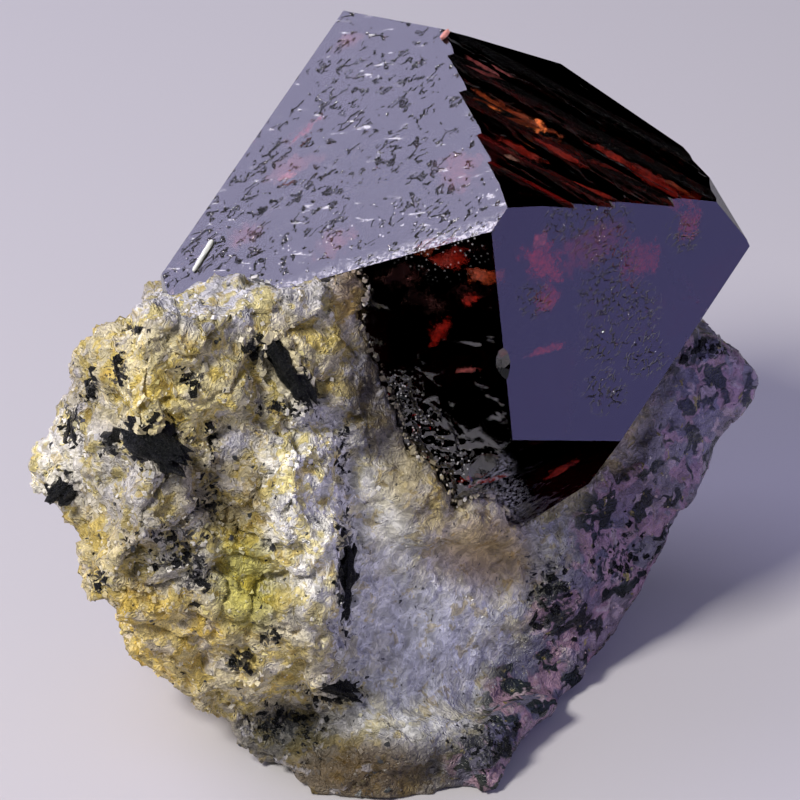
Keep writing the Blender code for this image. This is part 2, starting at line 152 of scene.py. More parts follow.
def make_stage():
    stage_square("floor", FLOOR_HALF, plain_paint("floor", (0.60, 0.59, 0.62), 0.7, 0.2))
    world = bpy.data.worlds.new("world")
    world.use_nodes = True
    background = world.node_tree.nodes["Background"]
    background.inputs["Color"].default_value = (0.55, 0.55, 0.62, 1.0)
    background.inputs["Strength"].default_value = 0.30
    bpy.context.scene.world = world
    bpy.context.scene.view_settings.view_transform = "Standard"

    area_light("window", (-4.0, 12.0, -4.0), (-0.684, 0.722, 0.080), 420.0, 330.0, 2.75, (0.69, 0.65, 1.0))
    area_light("key", (-10.0, 0.0, -4.0), (-0.45, 0.40, 0.80), 480.0, 110.0, 60.0, (1.0, 0.95, 0.88))
    panel = area_light(
        "side", (12.0, 4.0, -4.0), (0.973, -0.115, 0.199), 41.0, PANEL_WIDTH, 0.9, (0.44, 0.40, 1.0))
    panel.data.shape = "RECTANGLE"
    panel.data.size_y = PANEL_HEIGHT * MM
    panel.data.energy *= PANEL_HEIGHT / PANEL_WIDTH
    panel.location.z = (0.5 * PANEL_HEIGHT + 0.5) * MM

    black = plain_paint("card", (0.0, 0.0, 0.0), 0.5, 0.0)
    for name, aim, direction, distance, half in CARDS:
        card = stage_square(name, half * MM, black)
        place_facing(card, aim, direction, distance)
        card.visible_camera = False
        card.visible_diffuse = False
        card.visible_shadow = False
        card.visible_transmission = False


class Nodes:
    """Short calls for building a material's nodes."""

    def __init__(self, name):
        self.material = bpy.data.materials.new(name)
        self.material.use_nodes = True
        self.tree = self.material.node_tree
        self.shader = self.tree.nodes["Principled BSDF"]
        self.output = self.tree.nodes["Material Output"]

    def add(self, kind, inputs=None, **settings):
        node = self.tree.nodes.new(kind)
        for name, value in settings.items():
            setattr(node, name, value)
        for key, value in (inputs or {}).items():
            self.feed(node.inputs[key], value)
        return node

    def feed(self, socket, value):
        if isinstance(value, bpy.types.NodeSocket):
            self.tree.links.new(value, socket)
        else:
            socket.default_value = value

    def attribute(self, name, output="Fac"):
        return self.add("ShaderNodeAttribute", attribute_name=name).outputs[output]

    def noise(self, place, scale, detail, rough, output="Fac", distortion=0.0):
        return self.add("ShaderNodeTexNoise", {
            "Vector": place, "Scale": scale, "Detail": detail, "Roughness": rough,
            "Distortion": distortion}).outputs[output]

    def voronoi(self, place, scale, feature="F1"):
        return self.add("ShaderNodeTexVoronoi", {"Vector": place, "Scale": scale}, feature=feature).outputs

    def vector(self, operation, first, second):
        return self.add("ShaderNodeVectorMath", {0: first, 1: second}, operation=operation).outputs[0]

    def math(self, operation, first, second=0.0, clamp=False):
        inputs = {0: first, 1: second}
        return self.add("ShaderNodeMath", inputs, operation=operation, use_clamp=clamp).outputs[0]

    def product(self, first, *others):
        for other in others:
            first = self.math("MULTIPLY", first, other)
        return first

    def smooth(self, value, low, high, to_low=0.0, to_high=1.0):
        node = self.add("ShaderNodeMapRange", {
            "Value": value, "From Min": low, "From Max": high, "To Min": to_low, "To Max": to_high},
            interpolation_type="SMOOTHSTEP")
        return node.outputs["Result"]

    def mix(self, share, first, second, blend="MIX"):
        node = self.add("ShaderNodeMix", data_type="RGBA", blend_type=blend)
        self.feed(node.inputs["Factor"], share)
        self.feed(node.inputs[6], first if isinstance(first, bpy.types.NodeSocket) else (*first, 1.0))
        self.feed(node.inputs[7], second if isinstance(second, bpy.types.NodeSocket) else (*second, 1.0))
        return node.outputs[2]

    def shade(self, colour, value):
        """The colour times a number."""
        grey = self.add("ShaderNodeCombineColor", {0: value, 1: value, 2: value}).outputs[0]
        return self.mix(1.0, colour, grey, "MULTIPLY")

    def bump(self, height, strength, distance):
        inputs = {"Height": height, "Strength": strength, "Distance": distance}
        return self.add("ShaderNodeBump", inputs).outputs["Normal"]

    def set(self, **values):
        names = {"base": "Base Color", "rough": "Roughness", "normal": "Normal", "ior": "IOR",
                 "alpha": "Alpha", "clear": "Transmission Weight", "specular": "Specular IOR Level"}
        for key, value in values.items():
            if isinstance(value, tuple) and len(value) == 3:
                value = (*value, 1.0)
            self.feed(self.shader.inputs[names[key]], value)


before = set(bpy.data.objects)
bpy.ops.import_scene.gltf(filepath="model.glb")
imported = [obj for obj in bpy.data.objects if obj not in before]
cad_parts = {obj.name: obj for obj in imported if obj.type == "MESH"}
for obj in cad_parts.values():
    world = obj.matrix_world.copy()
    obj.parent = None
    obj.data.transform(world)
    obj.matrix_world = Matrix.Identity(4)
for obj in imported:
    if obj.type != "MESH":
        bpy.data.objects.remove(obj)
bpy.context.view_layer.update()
make_camera()
make_stage()


def store(mesh, name, kind, values):
    """Keeps values on the mesh's corners for the material's patterns."""
    kept = mesh.attributes.new(name, kind, "POINT")
    kept.data.foreach_set({"FLOAT": "value", "FLOAT_VECTOR": "vector", "FLOAT_COLOR": "color"}[kind],
                          np.asarray(values, dtype=float).ravel())


def mesh_places(mesh):
    flat = np.zeros(len(mesh.vertices) * 3)
    mesh.vertices.foreach_get("co", flat)
    return flat.reshape(-1, 3)


def finished(name, mesh, paint):
    """Makes a piece of a mesh in display millimetres, and keeps those places for the material."""
    store(mesh, "display", "FLOAT_VECTOR", mesh_places(mesh))
    mesh.transform(TO_ROW)
    mesh.materials.clear()
    mesh.materials.append(paint)
    return piece(name, mesh)


def new_mesh(name, mesh_data):
    mesh = bpy.data.meshes.new(name)
    mesh_data.to_mesh(mesh)
    mesh_data.free()
    return mesh


def even_skin(mesh, voxel):
    """The mesh remade with an even skin of small faces."""
    blank = link(bpy.data.objects.new("blank", mesh))
    remesh = blank.modifiers.new("even skin", "REMESH")
    remesh.mode = "VOXEL"
    remesh.voxel_size = voxel
    graph = bpy.context.evaluated_depsgraph_get()
    graph.update()
    skin = bpy.data.meshes.new_from_object(blank.evaluated_get(graph))
    bpy.data.objects.remove(blank)
    return skin


def mesh_lists(mesh):
    return [vert.co.copy() for vert in mesh.vertices], [tuple(face.vertices) for face in mesh.polygons]


def smoothstep(low, high, value):
    share = min(1.0, max(0.0, (value - low) / (high - low)))
    return share * share * (3.0 - 2.0 * share)


# The zircon.

ZIRCON_MESH = solid_copy("zircon_crystal")
ZIRCON_TREE = BVHTree.FromPolygons(*mesh_lists(ZIRCON_MESH))
EYE = Vector((0.0, 0.0, EYE_DISTANCE))
ZIRCON_IOR = 1.95

FACET_NORMALS = {
    1: Vector((-0.465, 0.491, 0.735)),
    2: Vector((0.456, 0.660, 0.594)),
    3: Vector((0.644, -0.260, 0.720)),
    4: Vector((-0.277, -0.429, 0.858)),
    5: Vector((0.412, -0.781, 0.468)),
}
LEFT, UPPER, RIGHT, LOWER, BELOW = 1, 2, 3, 4, 5

# Where each facet is marked most: pixel x and y, and radius in millimetres.
STEP_SPOTS = ((440, 215, 4.4), (400, 150, 2.6), (300, 190, 3.0), (360, 60, 3.2), (420, 70, 2.4),
              (230, 225, 3.0), (260, 150, 2.2), (345, 110, 2.2), (200, 270, 2.2), (330, 215, 2.4))
PIT_SPOTS = ((600, 225, 3.0), (612, 262, 2.4), (605, 295, 2.2), (640, 305, 2.2), (606, 340, 1.9),
             (650, 352, 2.0), (610, 392, 1.8), (535, 300, 1.5), (690, 230, 1.6), (560, 225, 1.4))
CRUSHED_SPOTS = ((435, 455, 2.6), (470, 470, 2.0), (400, 395, 1.8), (420, 420, 1.8), (500, 470, 1.3),
                 (505, 503, 2.0))


def spot_share(place, spots):
    """1 inside soft round spots of the picture, 0 away from them."""
    return max(smoothstep(radius, 0.3 * radius, math.hypot(place.x - middle.x, place.y - middle.y))
               for middle, radius in ((at_pixel(x, y, -3.0), radius) for x, y, radius in spots))


def turned(place, turn, along, across):
    """The place in coordinates stretched along a direction that lies turn degrees above level."""
    angle = math.radians(turn)
    a = place.x * math.cos(angle) + place.y * math.sin(angle)
    b = place.y * math.cos(angle) - place.x * math.sin(angle)
    return Vector((a / along, b / across, place.z / across))


STEP_LEVELS = (-0.45, -0.22, 0.0, 0.22, 0.45)
STEP_RISE = 0.0035


def step_height(place):
    """Growth steps and short cracks that run up to the right."""
    bent = place + 0.5 * noise.noise_vector(place * 0.35)
    flow = noise.fractal(turned(bent, 34.0, 1.5, 0.55), 0.9, 2.1, 4)
    fine = noise.fractal(turned(bent, 27.0, 0.8, 0.30) + Vector((7.0, 3.0, 1.0)), 0.9, 2.0, 3)
    share = 0.2 + 0.8 * spot_share(place, STEP_SPOTS)
    share *= smoothstep(-0.30, 0.20, noise.noise(turned(place, 20.0, 1.6, 1.0)))
    height = sum(STEP_RISE * smoothstep(level - 0.03, level + 0.03, flow) for level in STEP_LEVELS)
    crack = smoothstep(0.05, 0.0, abs(fine - 0.08))
    return share * (height - 0.003 * crack) + 0.005 * noise.noise(place * 0.8)


def pit_height(place):
    """Winding etch pits with raised rims."""
    field = noise.fractal(place * 0.80 + 0.35 * noise.noise_vector(place * 1.2), 0.8, 2.1, 3)
    share = spot_share(place, PIT_SPOTS)
    trench = smoothstep(0.10, 0.0, abs(field - 0.05))
    dent = smoothstep(0.15, 0.45, field)
    return -share * (0.020 * trench + 0.02 * dent) + 0.006 * noise.noise(place * 1.1)


def ledge_height(place):
    """Fine striae along the ledges."""
    lines = noise.fractal(turned(place, -28.0, 4.5, 0.34), 0.7, 2.2, 3)
    broad = noise.noise(turned(place, -27.0, 6.0, 1.1) + Vector((0.0, 5.0, 0.0)))
    breaks = smoothstep(0.25, 0.32, noise.noise(turned(place, -20.0, 1.8, 0.8) + Vector((3.0, 0.0, 0.0))))
    return 0.035 * lines + 0.08 * broad - 0.06 * breaks


def shell_height(place):
    """Shell-like breaks, and crushed crystal beside the rock."""
    waves = noise.fractal(place * 0.55 + Vector((0.0, 0.0, 4.0)), 0.9, 2.0, 2)
    steps = smoothstep(-0.02, 0.03, waves) + smoothstep(0.25, 0.30, waves)
    share = spot_share(place, CRUSHED_SPOTS)
    cell = noise.voronoi(place / 0.55)
    crushed = noise.cell(cell[1][0] * 7.7) - 0.5 + 0.6 * noise.noise(place * 4.0)
    return 0.03 * waves + 0.016 * steps + 0.10 * share * crushed


def fan_height(place):
    """Striae that fan out across the lowest face."""
    lines = noise.fractal(turned(place, 62.0, 3.0, 0.26), 0.8, 2.2, 3)
    waves = noise.noise(place * 0.6)
    return 0.028 * lines + 0.07 * waves


RELIEF = {LEFT: step_height, UPPER: ledge_height, RIGHT: pit_height, LOWER: shell_height, BELOW: fan_height}
RELIEF_STEP = {LEFT: 0.13, UPPER: 0.17, RIGHT: 0.14, LOWER: 0.16, BELOW: 0.16}


def facet_of(normal):
    for number, facing in FACET_NORMALS.items():
        if normal.dot(facing.normalized()) > 0.985:
            return number
    return 0


SKIN_STEP = 0.16


def inner_points(ring, step, dice):
    """A loose grid of points over a flat ring of corners."""
    low = [min(point[i] for point in ring) for i in (0, 1)]
    high = [max(point[i] for point in ring) for i in (0, 1)]
    points = []
    row = 0
    y = low[1]
    while y < high[1]:
        x = low[0] + (0.5 * step if row % 2 else 0.0)
        while x < high[0]:
            points.append(Vector((x + dice.uniform(-0.2, 0.2) * step, y + dice.uniform(-0.2, 0.2) * step)))
            x += step
        y += 0.87 * step
        row += 1
    return points


def cut_long_edges(mesh_data, step):
    long_edges = {}
    for edge in mesh_data.edges:
        cuts = int(edge.calc_length() / step)
        if cuts:
            long_edges.setdefault(cuts, []).append(edge)
    for cuts, edges in long_edges.items():
        bmesh.ops.bisect_edges(mesh_data, edges=edges, cuts=cuts)
    mesh_data.normal_update()


def relief_facets(mesh_data):
    """Fills the wide facets with small triangles and gives them their steps, pits and striae."""
    layer = mesh_data.faces.layers.float.new("facet")
    cut_long_edges(mesh_data, SKIN_STEP)
    for face in [face for face in mesh_data.faces if facet_of(face.normal) and face.calc_area() > 1.5]:
        number = facet_of(face.normal)
        normal = face.normal.copy()
        across = normal.orthogonal().normalized()
        along = normal.cross(across)
        origin = face.verts[0].co.copy()
        ring = list(face.verts)
        flat_ring = [Vector(((vert.co - origin).dot(across), (vert.co - origin).dot(along))) for vert in ring]
        step = RELIEF_STEP[number] * 1.0
        inner = inner_points(flat_ring, step, Random(number))
        points, _, faces, origins, _, _ = delaunay_2d_cdt(
            flat_ring + inner, [], [tuple(range(len(ring)))], 2, 1e-5)
        verts = {}
        for index, sources in enumerate(origins):
            rims = [source for source in sources if source < len(ring)]
            if rims:
                verts[index] = ring[rims[0]]
        mesh_data.faces.remove(face)
        for corners in faces:
            for corner in corners:
                if corner not in verts:
                    point = points[corner]
                    verts[corner] = mesh_data.verts.new(origin + across * point.x + along * point.y)
            built = [verts[corner] for corner in corners]
            if len(set(built)) == len(built):
                new = mesh_data.faces.new(built)
                new[layer] = number
                new.smooth = True
        rim_tree = KDTree(len(ring))
        for index, vert in enumerate(ring):
            rim_tree.insert(vert.co, index)
        rim_tree.balance()
        for vert in set(verts.values()) - set(ring):
            near = rim_tree.find(vert.co)[2]
            vert.co += normal * RELIEF[number](vert.co) * smoothstep(0.05, 0.45, near)
    bmesh.ops.triangulate(mesh_data, faces=[face for face in mesh_data.faces if len(face.verts) > 3])
    for edge in mesh_data.edges:
        levels = {face[layer] for face in edge.link_faces}
        edge.smooth = len(levels) == 1 and 0.0 not in levels
    mesh_data.normal_update()


def line_share(nodes, place, drift, turn, along, across, width):
    """1 along hairlines that run mostly turn degrees above level, 0 beside them."""
    level = nodes.add("ShaderNodeVectorRotate", {"Vector": place, "Angle": -math.radians(turn)},
                      rotation_type="Z_AXIS").outputs[0]
    flat = nodes.vector("MULTIPLY", level, (1.0 / along, 1.0 / across, 1.0 / across))
    cells = nodes.voronoi(nodes.vector("ADD", flat, drift), 1.0, "DISTANCE_TO_EDGE")
    return nodes.smooth(cells["Distance"], width, 0.0)


def clear_crystal(nodes, height=None, dust=None):
    """Clear dark red crystal; height is its relief, dust the share covered with white powder."""
    fine = nodes.product(nodes.noise(nodes.attribute("display", "Vector"), 6.0, 2.0, 0.65), 0.1)
    height = nodes.math("SUBTRACT", height, fine) if height else fine
    nodes.set(base=(1.0, 1.0, 1.0), rough=0.025, clear=1.0, ior=ZIRCON_IOR,
              normal=nodes.bump(height, 1.0, -0.00006))
    if dust:
        nodes.set(base=nodes.mix(dust, (1.0, 1.0, 1.0), (0.72, 0.68, 0.80)),
                  rough=nodes.smooth(dust, 0.0, 1.0, 0.025, 0.6), clear=nodes.math("SUBTRACT", 1.0, dust))
    absorb = nodes.add("ShaderNodeVolumeAbsorption", {"Color": (0.74, 0.03, 0.015, 1.0), "Density": 380.0})
    nodes.feed(nodes.output.inputs["Volume"], absorb.outputs["Volume"])
    return nodes.material


def specks_share(nodes, place):
    """1 on small round specks of powder."""
    return nodes.smooth(nodes.voronoi(place, 3.4)["Distance"], 0.26, 0.12)


def grainy_share(nodes, place):
    """1 on the grains of a dusty film."""
    return nodes.smooth(nodes.noise(place, 3.4, 3.0, 0.75), 0.42, 0.62)


def is_facet(nodes, number):
    inputs = {0: nodes.attribute("facet"), 1: float(number), 2: 0.3}
    return nodes.add("ShaderNodeMath", inputs, operation="COMPARE").outputs[0]


# The lower edge of the left face: a pixel of it, and the direction across it in the display axes.
LOW_EDGE = (430, 250, -1.5)
ACROSS_LOW_EDGE = (-0.287, 0.958, 0.0)


def lined_crystal():
    """The left and the right face: hairlines, rims of pits, powder along the lower edge, pale streaks."""
    nodes = Nodes("zircon_lined")
    place = nodes.attribute("display", "Vector")
    marked = nodes.attribute("marked")
    left = is_facet(nodes, LEFT)
    right = nodes.math("SUBTRACT", 1.0, left)

    # Hairlines and rims are so steep that they turn the light away.
    drift = nodes.noise(place, 1.3, 2.0, 0.6, "Color")
    thin = nodes.math("MAXIMUM", line_share(nodes, place, drift, 39.0, 3.6, 0.75, 0.050),
                      line_share(nodes, place, drift, 31.0, 2.1, 0.48, 0.065))
    broken = nodes.smooth(nodes.noise(place, 1.5, 1.0, 0.5), 0.48, 0.54)
    patchy = nodes.math("ADD", nodes.noise(place, 0.9, 2.0, 0.6), nodes.product(marked, 0.10))
    cracks = nodes.product(thin, broken, nodes.smooth(patchy, 0.52, 0.58), left)
    winding = nodes.noise(place, 1.6, 1.0, 0.5, "Color")
    rims = nodes.product(line_share(nodes, place, winding, 28.0, 1.0, 0.40, 0.095),
                         nodes.smooth(nodes.noise(place, 2.4, 1.0, 0.5), 0.46, 0.53), marked, right, 0.9)

    height_over = nodes.add("ShaderNodeVectorMath", {0: place, 1: ACROSS_LOW_EDGE}, operation="DOT_PRODUCT")
    edge_height = at_pixel(*LOW_EDGE).dot(Vector(ACROSS_LOW_EDGE))
    above_edge = nodes.math("SUBTRACT", height_over.outputs["Value"], edge_height)
    haze = nodes.product(nodes.smooth(above_edge, 1.1, 0.0), grainy_share(nodes, place), 0.75)
    chosen = nodes.smooth(nodes.noise(place, 1.5, 2.0, 0.5), 0.52, 0.60)
    low = nodes.product(specks_share(nodes, place), chosen, nodes.smooth(above_edge, 5.5, 0.5))
    level_place = nodes.vector("MULTIPLY", place, (0.28, 2.4, 1.0))
    streaks = nodes.smooth(nodes.noise(level_place, 1.0, 3.0, 0.6, distortion=0.3), 0.63, 0.72)
    dust = nodes.math("ADD", nodes.math("ADD", haze, low), nodes.product(streaks, 0.5), True)
    return clear_crystal(nodes, nodes.math("ADD", cracks, rims), nodes.product(dust, left))


def dusty_crystal():
    """The other front faces: specks on the lower left one, a grey film on the lowest one."""
    nodes = Nodes("zircon_dusty")
    place = nodes.attribute("display", "Vector")
    specks = nodes.product(specks_share(nodes, place), 0.45, is_facet(nodes, LOWER))
    film = nodes.product(grainy_share(nodes, place), 0.35, is_facet(nodes, BELOW))
    dust = nodes.product(nodes.math("ADD", specks, film), nodes.attribute("marked"))
    return clear_crystal(nodes, dust=dust)


def build_zircon():
    mesh_data = bmesh.new()
    mesh_data.from_mesh(ZIRCON_MESH)
    bmesh.ops.dissolve_limit(
        mesh_data, angle_limit=math.radians(0.6), verts=mesh_data.verts, edges=mesh_data.edges)
    bmesh.ops.bevel(
        mesh_data, geom=mesh_data.edges[:], offset=0.05, offset_type="OFFSET", segments=1, affect="EDGES",
        clamp_overlap=True)
    relief_facets(mesh_data)
    mesh = new_mesh("zircon_clear", mesh_data)
    store(mesh, "marked", "FLOAT",
          [spot_share(vert.co, STEP_SPOTS + PIT_SPOTS + CRUSHED_SPOTS) for vert in mesh.vertices])
    obj = finished("zircon_clear", mesh, clear_crystal(Nodes("zircon")))
    mesh.materials.append(lined_crystal())
    mesh.materials.append(dusty_crystal())
    for face, facet in zip(mesh.polygons, mesh.attributes["facet"].data):
        face.material_index = {0: 0, LEFT: 1, RIGHT: 1}.get(round(facet.value), 2)
    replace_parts(obj, "zircon_crystal")


def sight(x, y):
    """The direction from the eye to a pixel."""
    return (at_pixel(x, y, 0.0) - EYE).normalized()


def inside(x, y, depth):
    """A place in the crystal that shows at a pixel, depth millimetres down the bent ray."""
    ray = sight(x, y)
    hit, normal = ZIRCON_TREE.ray_cast(EYE, ray)[:2]
    ratio = 1.0 / ZIRCON_IOR
    facing = -normal.dot(ray)
    bent = ratio * ray + (ratio * facing - math.sqrt(1.0 - ratio ** 2 * (1.0 - facing ** 2))) * normal
    return hit + bent.normalized() * depth


def veil_material():
    nodes = Nodes("fractures_and_shade_sheets")
    place = nodes.attribute("display", "Vector")
    worn = nodes.product(nodes.attribute("rim"), 0.40)
    ragged = nodes.math("SUBTRACT", nodes.noise(place, 1.7, 3.0, 0.7), worn)
    cover = nodes.product(nodes.smooth(ragged, 0.22, 0.50), nodes.attribute("tint", "Alpha"))
    bright = nodes.smooth(nodes.noise(place, 3.0, 2.0, 0.7), 0.3, 0.7, 0.45, 1.0)
    nodes.set(base=nodes.shade(nodes.attribute("tint", "Color"), bright), rough=0.4, alpha=cover)
    return nodes.material


ORANGE, RED = (1.0, 0.22, 0.05, 1.0), (1.0, 0.08, 0.03, 1.0)
CREAM, ROSE = (1.0, 0.72, 0.50, 1.0), (1.0, 0.3, 0.28, 1.0)
FAINT_ROSE, FAINT_RED = (1.0, 0.34, 0.34, 0.35), (1.0, 0.08, 0.05, 0.6)
SHADOW, MAROON, GLOW = (0.004, 0.001, 0.001, 1.0), (0.08, 0.004, 0.012, 0.9), (1.0, 0.09, 0.07, 0.40)

# Fractures inside the crystal that catch the light, and near-black SHADOW sheets of painted shade: pixel x
# and y of the middle, depth under the surface and half sizes in millimetres, turn of the long side above
# level, display direction that it faces, and colour.
VEILS = (
    (520, 116, 0.4, 3.0, 0.55, -26.0, (0.2, 0.7, 0.7), ORANGE),
    (545, 128, 0.7, 1.6, 0.50, -24.0, (0.2, 0.7, 0.7), ORANGE),
    (486, 104, 0.4, 1.5, 0.45, -36.0, (0.2, 0.7, 0.7), ORANGE),
    (560, 152, 0.9, 2.6, 0.50, -22.0, (0.3, 0.6, 0.75), RED),
    (512, 158, 0.5, 0.8, 0.40, -12.0, (0.3, 0.6, 0.75), CREAM),
    (520, 150, 1.0, 2.2, 0.60, -22.0, (0.3, 0.6, 0.75), RED),
    (482, 66, 0.6, 1.9, 0.30, -28.0, (0.2, 0.6, 0.8), ROSE),
    (500, 78, 0.9, 1.2, 0.25, -28.0, (0.2, 0.6, 0.8), ROSE),
    (650, 176, 1.3, 4.0, 0.95, -24.0, (0.3, 0.5, 0.8), RED),
    (676, 186, 0.9, 1.8, 0.50, -24.0, (0.3, 0.5, 0.8), ORANGE),
    (610, 168, 1.6, 2.4, 0.60, -26.0, (0.3, 0.5, 0.8), RED),
    (590, 190, 0.9, 3.0, 0.30, -10.0, (0.2, 0.5, 0.85), RED),
    (450, 260, 1.2, 1.7, 0.9, 20.0, (-0.2, -0.2, 0.95), RED),
    (428, 250, 1.0, 0.9, 0.5, 20.0, (-0.2, -0.2, 0.95), ORANGE),
    (484, 276, 0.9, 0.7, 1.6, 80.0, (-0.3, -0.3, 0.9), ORANGE),
    (470, 300, 1.4, 0.9, 0.5, 30.0, (-0.3, -0.3, 0.9), RED),
    (466, 370, 0.6, 1.1, 0.28, 14.0, (-0.3, -0.4, 0.85), ROSE),
    (440, 330, 2.0, 1.6, 0.7, 50.0, (-0.3, -0.4, 0.85), RED),
    (590, 247, 1.5, 4.4, 1.9, 2.0, (0.644, -0.260, 0.720), GLOW),
    (545, 262, 1.6, 1.7, 2.6, 60.0, (0.5, 0.0, 0.86), RED),
    (540, 240, 1.0, 0.9, 0.8, 60.0, (0.5, 0.0, 0.86), ROSE),
    (548, 300, 1.3, 1.4, 1.0, 30.0, (0.5, 0.0, 0.86), RED),
    (545, 350, 1.0, 2.6, 0.40, 12.0, (0.5, 0.0, 0.86), RED),
    (690, 222, 1.4, 1.6, 1.2, 60.0, (0.6, 0.0, 0.8), RED),
    (640, 260, 2.4, 2.6, 1.8, 20.0, (0.6, 0.0, 0.8), RED),
    (290, 168, 1.4, 2.8, 1.2, 15.0, (-0.3, 0.4, 0.85), FAINT_ROSE),
    (288, 176, 0.7, 0.9, 0.40, 10.0, (-0.3, 0.4, 0.85), ROSE),
    (305, 130, 1.2, 1.9, 0.50, 38.0, (-0.3, 0.4, 0.85), FAINT_RED),
    (335, 242, 1.0, 1.9, 1.3, 20.0, (-0.3, 0.4, 0.85), FAINT_ROSE),
    (245, 236, 1.2, 1.9, 1.0, 20.0, (-0.3, 0.4, 0.85), FAINT_ROSE),
    (460, 170, 1.4, 2.2, 2.2, 40.0, (-0.3, 0.4, 0.85), FAINT_ROSE),
    (350, 40, 1.0, 1.6, 0.8, 20.0, (-0.3, 0.4, 0.85), FAINT_ROSE),
    (292, 134, 0.5, 1.6, 0.35, 36.0, (-0.3, 0.4, 0.85), MAROON),
    # Near-black sheets of painted shade that darken the crystal round the lit fractures below.
    (400, 275, 1.8, 2.2, 1.0, 15.0, (-0.2, -0.2, 0.95), SHADOW),
    (462, 250, 2.2, 2.4, 0.7, 15.0, (-0.2, -0.2, 0.95), SHADOW),
    (425, 300, 1.6, 2.0, 1.0, -10.0, (-0.2, -0.2, 0.95), SHADOW),
    (470, 292, 2.4, 1.8, 0.9, 10.0, (-0.2, -0.2, 0.95), SHADOW),
    (490, 480, 0.8, 1.9, 0.45, 4.0, (0.1, -0.5, 0.85), RED),
    (560, 470, 1.2, 1.6, 0.60, 30.0, (0.3, -0.5, 0.8), RED),
)


def build_veils():
    mesh_data = bmesh.new()
    rim_layer = mesh_data.verts.layers.float.new("rim")
    tint_layer = mesh_data.verts.layers.float_color.new("tint")
    for index, (x, y, depth, half_long, half_short, turn, facing, colour) in enumerate(VEILS):
        middle = inside(x, y, depth)
        facing = Vector(facing).normalized()
        level = Vector((math.cos(math.radians(turn)), math.sin(math.radians(turn)), 0.0))
        long_side = (level - facing * level.dot(facing)).normalized()
        short_side = facing.cross(long_side)
        ball = bmesh.ops.create_icosphere(mesh_data, subdivisions=4, radius=1.0)["verts"]
        for vert in ball:
            a, b, c = vert.co
            ragged = 1.0 + 0.35 * noise.noise(Vector((1.6 * a + index, 1.6 * b, 0.0)))
            place = middle + (long_side * a * half_long + short_side * b * half_short) * ragged
            place += facing * c * 0.05
            place += facing * 0.30 * noise.noise(place * 0.8 + Vector((index, 0.0, 0.0)))
            vert[rim_layer] = max(0.0, math.hypot(a, b) - 0.3) / 0.7
            vert[tint_layer] = colour
            vert.co = place
    finished("fractures_and_shade_sheets", new_mesh("fractures_and_shade_sheets", mesh_data), veil_material())


build_zircon()
build_veils()


# The rock.

def rock_material():
    nodes = Nodes("feldspar_rock")
    place = nodes.attribute("display", "Vector")
    tint = nodes.attribute("tint", "Color")
    mosaic_share = nodes.attribute("mosaic")
    coarse_share = nodes.attribute("coarse")
    bent = nodes.vector("ADD", place, nodes.noise(place, 1.2, 1.0, 0.5, "Color"))

    def random_tones(cells):
        return nodes.add("ShaderNodeSeparateColor", {"Color": cells["Color"]}).outputs

    block = random_tones(nodes.voronoi(bent, 1.1))
    sugar = nodes.voronoi(bent, 4.2)
    crumb = random_tones(sugar)
    colour = nodes.shade(tint, nodes.smooth(block[0], 0.0, 1.0, 0.86, 1.14))
    warm_noise = nodes.noise(bent, 0.55, 3.0, 0.62)
    warm = nodes.product(nodes.smooth(warm_noise, 0.47, 0.58, 0.0, 0.85), coarse_share)
    colour = nodes.mix(warm, colour, nodes.mix(1.0, colour, (0.93, 0.81, 0.30), "MULTIPLY"))
    cool_noise = nodes.noise(nodes.vector("ADD", bent, (31.0, 7.0, 5.0)), 0.50, 3.0, 0.62)
    cool = nodes.product(nodes.smooth(cool_noise, 0.56, 0.64, 0.0, 0.60), coarse_share)
    colour = nodes.mix(cool, colour, nodes.mix(0.75, colour, (0.50, 0.50, 0.58)))
    colour = nodes.shade(colour, nodes.smooth(crumb[0], 0.0, 1.0, 0.80, 1.18))
    stain_place = nodes.vector("ADD", bent, (3.0, 19.0, 8.0))
    stain = nodes.smooth(nodes.noise(stain_place, 0.7, 3.0, 0.68), 0.57, 0.63, 0.0, 0.75)
    colour = nodes.mix(stain, colour, nodes.mix(1.0, colour, (0.80, 0.68, 0.38), "MULTIPLY"))
    mottle = nodes.noise(stain_place, 1.1, 3.0, 0.70)
    colour = nodes.shade(colour, nodes.smooth(mottle, 0.38, 0.62, 0.70, 1.16))

    # The flank: broad soft patches of grey, pink and green-black minerals, as on a sawn face.
    mosaic = nodes.mix(0.35, (0.15, 0.14, 0.24), tint)
    for scale, seed, low, high, tone in (
        (0.42, 3.0, 0.50, 0.56, (0.38, 0.24, 0.32)),
        (0.55, 11.0, 0.52, 0.57, (0.010, 0.018, 0.019)),
        (0.75, 17.0, 0.60, 0.66, (0.46, 0.36, 0.42)),
        (1.10, 29.0, 0.64, 0.70, (0.30, 0.25, 0.07)),
    ):
        field = nodes.noise(nodes.vector("ADD", bent, (seed, 0.0, 2.0 * seed)), scale, 2.0, 0.55)
        mosaic = nodes.mix(nodes.smooth(field, low, high), mosaic, tone)
    mosaic = nodes.shade(mosaic, nodes.smooth(mottle, 0.3, 0.7, 0.45, 0.95))
    colour = nodes.mix(nodes.smooth(mosaic_share, 0.15, 0.50, 0.0, 0.95), colour, mosaic)

    # Black minerals, and painted shade where the dark zones lie along the lobe's step and in the low left
    # recess.
    dark = nodes.math("ADD", nodes.noise(bent, 2.3, 4.0, 0.72), nodes.product(nodes.attribute("dark"), 0.27))
    colour = nodes.mix(nodes.product(nodes.smooth(dark, 0.62, 0.67), 0.92), colour, (0.022, 0.024, 0.028))

    rough = nodes.smooth(crumb[1], 0.0, 1.0, 0.28, 0.75)
    rough = nodes.math("SUBTRACT", rough, nodes.product(mosaic_share, 0.22), True)
    height = nodes.math("ADD", nodes.product(sugar["Distance"], 1.25), nodes.noise(place, 7.0, 2.0, 0.7))
    height = nodes.product(height, nodes.smooth(coarse_share, 0.0, 1.0, 0.30, 1.0))
    nodes.set(base=colour, rough=rough, normal=nodes.bump(height, 0.8, 0.00016))
    return nodes.material


